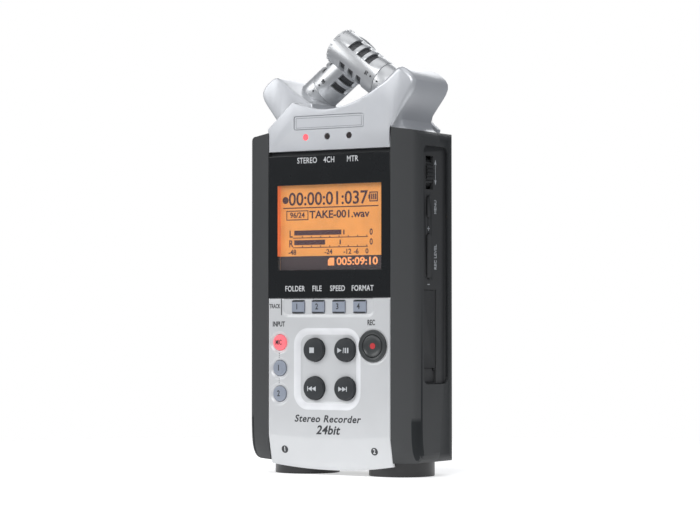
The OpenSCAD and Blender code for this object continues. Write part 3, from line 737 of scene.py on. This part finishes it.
def panel_y(x, z, dishes):
    """Depth of the control panel's front surface at (x, z), in millimetres."""
    y = -17.0
    bend = 13.2 + (x / 25) ** 2 - z
    if bend > 0:
        y += CHIN_SLOPE * (bend - 0.3 * (1 - math.exp(-bend / 0.3)))
    if z < 5.2:
        y += 0.16 * (5.2 - z) ** 2
    y += 1.1 * ease(-box_distance(x, z, RECESS) / 3.4)
    y += 0.35 * ease(-box_distance(x, z, TRAY) / 0.9)
    for cx, cz, r, run, depth in dishes:
        y += depth * ease((r - math.hypot(x - cx, z - cz)) / run)
    edge = min(25.1 - abs(x), 61.78 - z)
    y += 0.22 * (1 - ease(edge / 0.45)) ** 2
    return y


def spaced(low, high, step):
    n = max(2, round((high - low) / step))
    return [low + (high - low) * i / n for i in range(n + 1)]


def control_panel():
    """Lower front: dished key recess, track-key tray, tilted chin and real holes for the keys."""
    dishes = [(*middle(n), 4.1, 1.15, 0.55) for n in ("mic_input_button", "input_1_button", "input_2_button")]
    dishes.append((*middle("record_ring"), 6.5, 0.7, 0.3))
    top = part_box("control_panel")[1].z / MM
    xs = spaced(-25.1, 25.1, 0.3)
    rows = spaced(0, 1, 1 / 210)
    bm = bmesh.new()
    front, back = [], []
    for v in rows:
        line_f, line_b = [], []
        for x in xs:
            bottom = 1.8 + x * x / 320
            z = bottom + (top - bottom) * v
            y = panel_y(x, z, dishes)
            line_f.append(bm.verts.new((x * MM, y * MM, z * MM)))
            inner = max(y + 0.8, -15.0) if z > 6 else max(y + 0.8, -15.0 + (6 - z) * 0.45)
            line_b.append(bm.verts.new((x * MM, inner * MM, z * MM)))
        front.append(line_f)
        back.append(line_b)
    last_row, last_col = len(rows) - 1, len(xs) - 1
    for j in range(last_row):
        for i in range(last_col):
            bm.faces.new((front[j][i], front[j][i + 1], front[j + 1][i + 1], front[j + 1][i]))
            bm.faces.new((back[j][i], back[j + 1][i], back[j + 1][i + 1], back[j][i + 1]))
        for i in (0, last_col):
            bm.faces.new((front[j][i], front[j + 1][i], back[j + 1][i], back[j][i]))
    for i in range(last_col):
        for j in (0, last_row):
            bm.faces.new((front[j][i], front[j][i + 1], back[j][i + 1], back[j][i]))
    bmesh.ops.recalc_face_normals(bm, faces=bm.faces)
    mesh = bpy.data.meshes.new("panel")
    bm.to_mesh(mesh)
    bm.free()
    cutters = [lathe([(0, -20), (r, -20), (r, -10), (0, -10)], middle(n), 64)
               for n, r in ([(k + "_button", 4.25) for k in ("stop", "play", "rewind", "forward")]
                            + [(k, 2.92) for k in ("mic_input_button", "input_1_button", "input_2_button")]
                            + [("record_ring", 5.63)])]
    for k in range(1, 5):
        low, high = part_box("track_button_%d" % k)
        cx = (low.x + high.x) / 2 / MM
        cutter = flat_mesh(rounded(cx - 2.72, 58.8 - 2.38, cx + 2.72, 58.8 + 2.38, 0.5), 5)
        cutter.transform(Matrix.Translation((0, -15 * MM, 0)) @ FACE_FRONT)
        cutters.append(cutter)
    mesh = cut(mesh, cutters)
    smooth(mesh, 28)
    add_piece("control_panel_skin", mesh, "recorder", SLOT_MATERIAL["panel_silver"](),
              ["control_panel"])


def recess_rim():
    """Slope round the transport keys, just proud of the panel, coloured lighter than the panel as a painted
    highlight where the recess walls catch the light.
    """
    cx, cz, half_x, half_z, r = RECESS
    bm = bmesh.new()
    loops = []
    for k in range(12):
        d = 0.15 + 0.21 * k
        outline = rounded(cx - half_x + d, cz - half_z + d, cx + half_x - d, cz + half_z - d, r - d, 12)
        loops.append([bm.verts.new((x * MM, (panel_y(x, z, []) - 0.03) * MM, z * MM)) for x, z in outline])
    for a, b in zip(loops, loops[1:]):
        for i in range(len(a)):
            j = (i + 1) % len(a)
            bm.faces.new((a[i], a[j], b[j], b[i]))
    bmesh.ops.recalc_face_normals(bm, faces=bm.faces)
    mesh = bpy.data.meshes.new("rim")
    bm.to_mesh(mesh)
    bm.free()
    smooth(mesh)
    # the rim's lighter silver is a painted highlight on the recess walls, not a lacquer
    add_piece("recess_rim", mesh, "recorder",
              surface("rim_painted_highlight", (0.76, 0.77, 0.79), 0.38, 2200, 0.05, metal=0.05))


def rounded(x0, y0, x1, y1, r, steps=5):
    """Outline of a rectangle with round corners."""
    points = []
    for cx, cy, start in ((x1 - r, y1 - r, 0), (x0 + r, y1 - r, 90), (x0 + r, y0 + r, 180),
                          (x1 - r, y0 + r, 270)):
        points += arc(cx, cy, r, start, start + 90, steps)
    return points


def cut(mesh, cutters, operation="DIFFERENCE"):
    """mesh combined with every cutter mesh."""
    obj = bpy.data.objects.new("cut_work", mesh)
    SCENE.collection.objects.link(obj)
    bm = bmesh.new()
    for cutter in cutters:
        bm.from_mesh(cutter)
        bpy.data.meshes.remove(cutter)
    tool_mesh = bpy.data.meshes.new("cutters")
    bm.to_mesh(tool_mesh)
    bm.free()
    tool = bpy.data.objects.new("cut_tool", tool_mesh)
    SCENE.collection.objects.link(tool)
    mod = obj.modifiers.new("cut", "BOOLEAN")
    mod.operation = operation
    mod.solver = "EXACT"
    mod.use_self = operation == "UNION"
    mod.object = tool
    bpy.context.view_layer.update()
    result = baked(obj)
    bpy.data.objects.remove(tool)
    bpy.data.meshes.remove(tool_mesh)
    return result


# ---- guard and microphones ----

MIC_X, MIC_Y, MIC_Z = 17.1, 8.1, 137.5
MIC_TILT = 36.87
LED_X, LED_Z = (-9.5, -0.5, 8.5), 118.25
BADGE = (0, 123.3, 14.5, 2.5)


def mic_point(u, n):
    """(x, z) of a point u along the right microphone's axis from its seam and n above the axis."""
    return (MIC_X + 0.8 * u + 0.6 * n, MIC_Z - 0.6 * u + 0.8 * n)


def inset(points, amounts):
    """A closed outline moved inwards by an amount at each point."""
    moved = []
    count = len(points)
    for i, (x, z) in enumerate(points):
        (x0, z0), (x1, z1) = points[i - 1], points[(i + 1) % count]
        a = Vector((x - x0, z - z0)).normalized()
        b = Vector((x1 - x, z1 - z)).normalized()
        na, nb = Vector((-a.y, a.x)), Vector((-b.y, b.x))
        normal = (na + nb).normalized()
        reach = amounts[i] / max(0.45, normal.dot(na))
        moved.append((x + normal.x * reach, z + normal.y * reach))
    return moved


def loft(layers):
    """A closed mesh through outlines given as (points, ys), all with the same number of points."""
    bm = bmesh.new()
    rows = [[bm.verts.new((x * MM, y * MM, z * MM)) for (x, z), y in zip(points, ys)]
            for points, ys in layers]
    count = len(rows[0])
    for low, high in zip(rows, rows[1:]):
        for i in range(count):
            j = (i + 1) % count
            bm.faces.new((low[i], low[j], high[j], high[i]))
    caps = [bm.faces.new(rows[0][::-1]), bm.faces.new(rows[-1])]
    bmesh.ops.triangulate(bm, faces=caps)
    bmesh.ops.recalc_face_normals(bm, faces=bm.faces)
    mesh = bpy.data.meshes.new("loft")
    bm.to_mesh(mesh)
    bm.free()
    return mesh


def rounded_slab(front, back, radii, y0, y1, morph=0.0, steps=6):
    """Outline front at y0 that turns into outline back within morph, its front edge rounded."""
    count = len(front)
    layers = []
    for k in range(steps + 1):
        angle = math.radians(90 * k / steps)
        ys = [y0 + r * (1 - math.cos(angle)) for r in radii]
        blend = [ease((y - y0) / morph) if morph else 0 for y in ys]
        mixed = [(a[0] + (b[0] - a[0]) * t, a[1] + (b[1] - a[1]) * t) for a, b, t in zip(front, back, blend)]
        layers.append((inset(mixed, [r * (1 - math.sin(angle)) for r in radii]), ys))
    top = max(radii)
    for k in range(1, 9 if morph else 1):
        y = y0 + top + (morph - top) * k / 8
        t = ease((y - y0) / morph)
        layers.append(([(a[0] + (b[0] - a[0]) * t, a[1] + (b[1] - a[1]) * t) for a, b in zip(front, back)],
                       [y] * count))
    last = back if morph else front
    end = 0.8 if morph else 0.2
    for k in range(5):
        angle = math.radians(90 * k / 4)
        layers.append((inset(last, [end * (1 - math.cos(angle))] * count),
                       [y1 - end * (1 - math.sin(angle))] * count))
    return loft(layers)


def guard_mesh(front_half):
    """Front plate, saddle and horn of one half of the guard, as the front half."""
    crown = [mic_point(*p) for p in ((16.25, 1), (16.3, 4), (16.2, 6.4), (15.7, 8.3), (14.7, 9.6), (13, 10.3),
                                     (11, 10.55), (9, 10.5), (7.6, 10.2), (6.6, 9.4), (6.0, 8.1), (5.5, 6),
                                     (4.9, 3.4), (3.9, 0.2), (2.9, -3.0), (1.8, -5.5), (0.7, -7.5))]
    front = [(12, 119.5), (25.1, 119.5), (25.35, 120.4), (26.1, 121.5), (27.4, 123.2), (28.7, 125.6)] + crown
    back = [(12, 119.5), (30.4, 119.5), (29.2, 120.3), (28.3, 121.4), (27.8, 123.2), (28.5, 125.6)] + crown
    radii = [0.4] * 5 + [0.9] + [1.3, 1.6] + [1.8] * 11 + [1.3, 0.8, 0.5, 0.4]
    horn = rounded_slab(front, back, radii, -17, 7, 4.2)
    base = 113.5 if front_half else 119.5
    concave = [(13.6, 131.2), (10, 129.8), (6.9, 128.8), (2.5, 128.0), (-1.4, 127.8), (-5, 128.1),
               (-8, 128.8), (-11.5, 129.75), (-14.6, 130.8), (-15.3, 130.7)]
    plate = ([(-25.1, base), (25.1, base), (25.1, 119.5), (25.35, 120.4), (26.1, 121.5), (27.4, 123.2),
              (26.5, 127), (22, 131)] + concave + [(-25.6, 121.7), (-25.6, 121.1), (-25.1, 119.9)])
    slab = rounded_slab(plate, plate, [0.4] * len(plate), -17, -14.2 if front_half else -14.5)
    parts = [slab]
    for x0, x1, y0, y1 in ((-12, 14.7, -14.6, 0), (-14.7, -11.9, -14.6, -7)):
        block = flat_mesh(oblong(x0, 119.5, x1, 126.6), (y1 - y0) / 2)
        block.transform(Matrix.Translation((0, (y0 + y1) / 2 * MM, 0)) @ FACE_FRONT)
        parts.append(block)
    cutters = []
    if front_half:
        cutters += [lathe([(0, -18), (1.15, -18), (1.15, -15.6), (0, -15.6)], (x, LED_Z), 32) for x in LED_X]
        cx, cz, half_x, half_z = BADGE
        badge = flat_mesh(rounded(cx - half_x, cz - half_z, cx + half_x, cz + half_z, 0.8), 1.0)
        badge.transform(Matrix.Translation((0, -17.5 * MM, 0)) @ FACE_FRONT)
        cutters.append(badge)
        hide = flat_mesh(oblong(-40, 100, 40, 119.45), 10)
        hide.transform(Matrix.Translation((0, -4.9 * MM, 0)) @ FACE_FRONT)
        cutters.append(hide)
    mesh = joined(horn, parts)
    return cut(mesh, cutters) if cutters else mesh


def joined(mesh, others):
    return cut(mesh, others, "UNION")


def guards():
    for half in ("front", "rear"):
        mesh = guard_mesh(half == "front")
        if half == "rear":
            mesh.transform(Matrix.Rotation(math.pi, 4, "Z"))
        smooth(mesh, 30)
        add_piece("guard_%s_shell" % half, mesh, "recorder", SLOT_MATERIAL["guard_silver"](),
                  ["mic_guard_" + half])
    trim = Prints("badge_border", "recorder", surface("badge_line", (0.30, 0.31, 0.33), 0.4, 1500, 0.05))
    cx, cz, half_x, half_z = BADGE
    half_x, half_z = half_x - 0.9, half_z - 0.75
    for points in frame_bars(cx - half_x, cz - half_z, cx + half_x, cz + half_z, 0.16):
        trim.shape(points, (0, -16.92, 0), depth=0.03)
    trim.done()


RIBS = 20


def mic_details():
    """Grip ribs round each tip, and the setting marks on both sides of the seam."""
    ink = dark_print_and_shade()
    for side, sign, front in (("right", 1, -MIC_Y), ("left", -1, MIC_Y)):
        bm = bmesh.new()
        for k in range(RIBS):
            rib = bmesh.ops.create_cube(bm, size=1)["verts"]
            bmesh.ops.scale(bm, vec=(0.9 * MM, 0.75 * MM, 0.9 * MM), verts=rib)
            bmesh.ops.translate(bm, vec=(-21.75 * MM, 0, 6.4 * MM), verts=rib)
            turn = Matrix.Rotation(math.tau * k / RIBS, 3, "X")
            bmesh.ops.rotate(bm, cent=(0, 0, 0), matrix=turn, verts=rib)
        mesh = bpy.data.meshes.new("ribs")
        bm.to_mesh(mesh)
        bm.free()
        mesh = bevelled(mesh, 0.22 * MM, 3)
        place = (Matrix.Translation((MIC_X * MM, -MIC_Y * MM, MIC_Z * MM))
                 @ Matrix.Rotation(math.radians(MIC_TILT), 4, "Y"))
        mesh.transform(place if sign > 0 else Matrix.Rotation(math.pi, 4, "Z") @ place)
        smooth(mesh)
        add_piece("mic_ribs_" + side, mesh, "microphone_" + side, SLOT_MATERIAL["mic_metal"]())
        marks = Prints("mic_marks_" + side, "microphone_" + side, ink)
        y = front - 6.66
        for u, shape in ((-1.7, ring_points(0.34, 16)), (-3.7, None)):
            x, z = mic_point(u, 0)
            if shape:
                marks.shape(shape, (sign * x, y, z), depth=0.05)
            else:
                marks.words("90", 1.35, (sign * x, y, z), spin=sign * (90 - MIC_TILT), squeeze=0.8,
                            depth=0.06, bold=0.05)
        marks.done()
        dot = Prints("mic_index_" + side, "recorder", ink)
        x, z = mic_point(1.5, 0)
        dot.shape(ring_points(0.34, 16), (sign * x, y, z), depth=0.05)
        dot.done()


def side_legends():
    x = 34.2 + 0.02
    marks = Prints("side_legends", "recorder", grey_print(), FACE_RIGHT)
    marks.words("MENU", 1.5, (x, -1.7, 93.2), spin=90, squeeze=0.85, depth=0.02, bold=0.03)
    marks.words("REC LEVEL", 1.6, (x, -1.7, 75.9), spin=90, squeeze=0.85, depth=0.02, bold=0.04)
    for z in (85.6, 66.4):
        marks.shape(oblong(-0.75, -0.14, 0.75, 0.14), (x, -6.5, z), depth=0.02)
    marks.shape(oblong(-0.14, -0.75, 0.14, 0.75), (x, -6.5, 85.6), depth=0.02)
    marks.shape(oblong(-0.1, -3.0, 0.1, 3.0), (x, -1.7, 105.2), depth=0.02)
    for s in (1, -1):
        marks.shape([(0, s * 4.4), (-0.65 * s, s * 2.7), (0.65 * s, s * 2.7)], (x, -1.7, 105.2), depth=0.02)
    marks.done()
    left = Prints("left_legends", "recorder", grey_print(), FACE_LEFT)
    for words, z in (("PHONES", 93.6), ("VOLUME", 71.2), ("USB", 55.5), ("DC 5V", 42.2), ("POWER", 17.2)):
        left.words(words, 1.5, (-35.02, -5.4, z), squeeze=0.85, depth=0.02, bold=0.03)
    left.done()


def chin_numbers():
    """Numbers of the two input sockets, on discs at the foot of the control panel."""
    discs = Prints("chin_discs", "recorder", dark_print_and_shade())
    digits = Prints("chin_digits", "recorder", white_print())
    lean = math.degrees(math.atan(CHIN_SLOPE))
    for words, x, z in (("1", -18.7, 8.8), ("2", 18.25, 8.95)):
        y = panel_y(x, z, [])
        turn = Matrix.Rotation(math.radians(lean), 4, "X") @ FACE_FRONT
        for print_, mesh, lift in ((discs, flat_mesh(ring_points(1.35, 32), 0.04), 0.0),
                                   (digits, text_mesh(words, 1.7, 0.85, 0.03, 0.06), 0.05)):
            print_.turn = turn
            print_.put(mesh, (x, y - 0.02 - lift, z))
    discs.done()
    digits.done()


SWEEP_TOP, SWEEP_BACK, CASE_FOOT = 21, -6, 4.4


def case_ends(bm):
    """The top of the case rises a little to the guard, and its lower front corners are swept back."""
    for level in (4.8, 5.2, 5.7, 6.3, 7, 8, 9, 10, 11.5, 13, 15, 17, 19, 21):
        bmesh.ops.bisect_plane(bm, geom=bm.verts[:] + bm.edges[:] + bm.faces[:], dist=1e-6,
                               plane_co=(0, 0, level * MM), plane_no=(0, 0, 1))
    for v in bm.verts:
        x, y, z = (c / MM for c in v.co)
        if z < SWEEP_TOP and y < SWEEP_BACK:
            drop = (SWEEP_TOP - z) / (SWEEP_TOP - CASE_FOOT)
            out = min(1.0, max(0.0, (abs(x) - 25.3) / 6.0))
            near = min(1.0, (SWEEP_BACK - y) / 6)
            v.co.y += (1.1 * drop ** 2 + 4.4 * drop ** 7) * out * near * MM
    for v in bm.verts:
        x, y, z = (c / MM for c in v.co)
        if abs(abs(x) - 25.2) < 0.3 and z > 119.3 and y < -14:
            v.co.z += 0.9 * MM


EDGE = 0.2
ROUND_KEYS = ("stop", "play", "rewind", "forward", "record", "mic_input", "input_1", "input_2")
CUSTOM = {"control_panel", "mic_guard_front", "mic_guard_rear", "front_case", "record_ring",
          *(key + "_button" for key in ROUND_KEYS), *("track_button_%d" % k for k in range(1, 5))}

studio()
for node_name in NODES:
    if node_name == "rear_case":
        refined(node_name, 0.0)  # softened edges would leave streaks between its many holes
    elif node_name not in CUSTOM:
        refined(node_name, EDGE)
refined("front_case", 0.5, 4, shape=case_ends)
guards()
mic_details()
control_panel()
recess_rim()
transport_keys()
record_key()
input_keys()
track_keys()
display_picture()
cover_legends()
panel_legends_and_tray_shade()
side_legends()
chin_numbers()
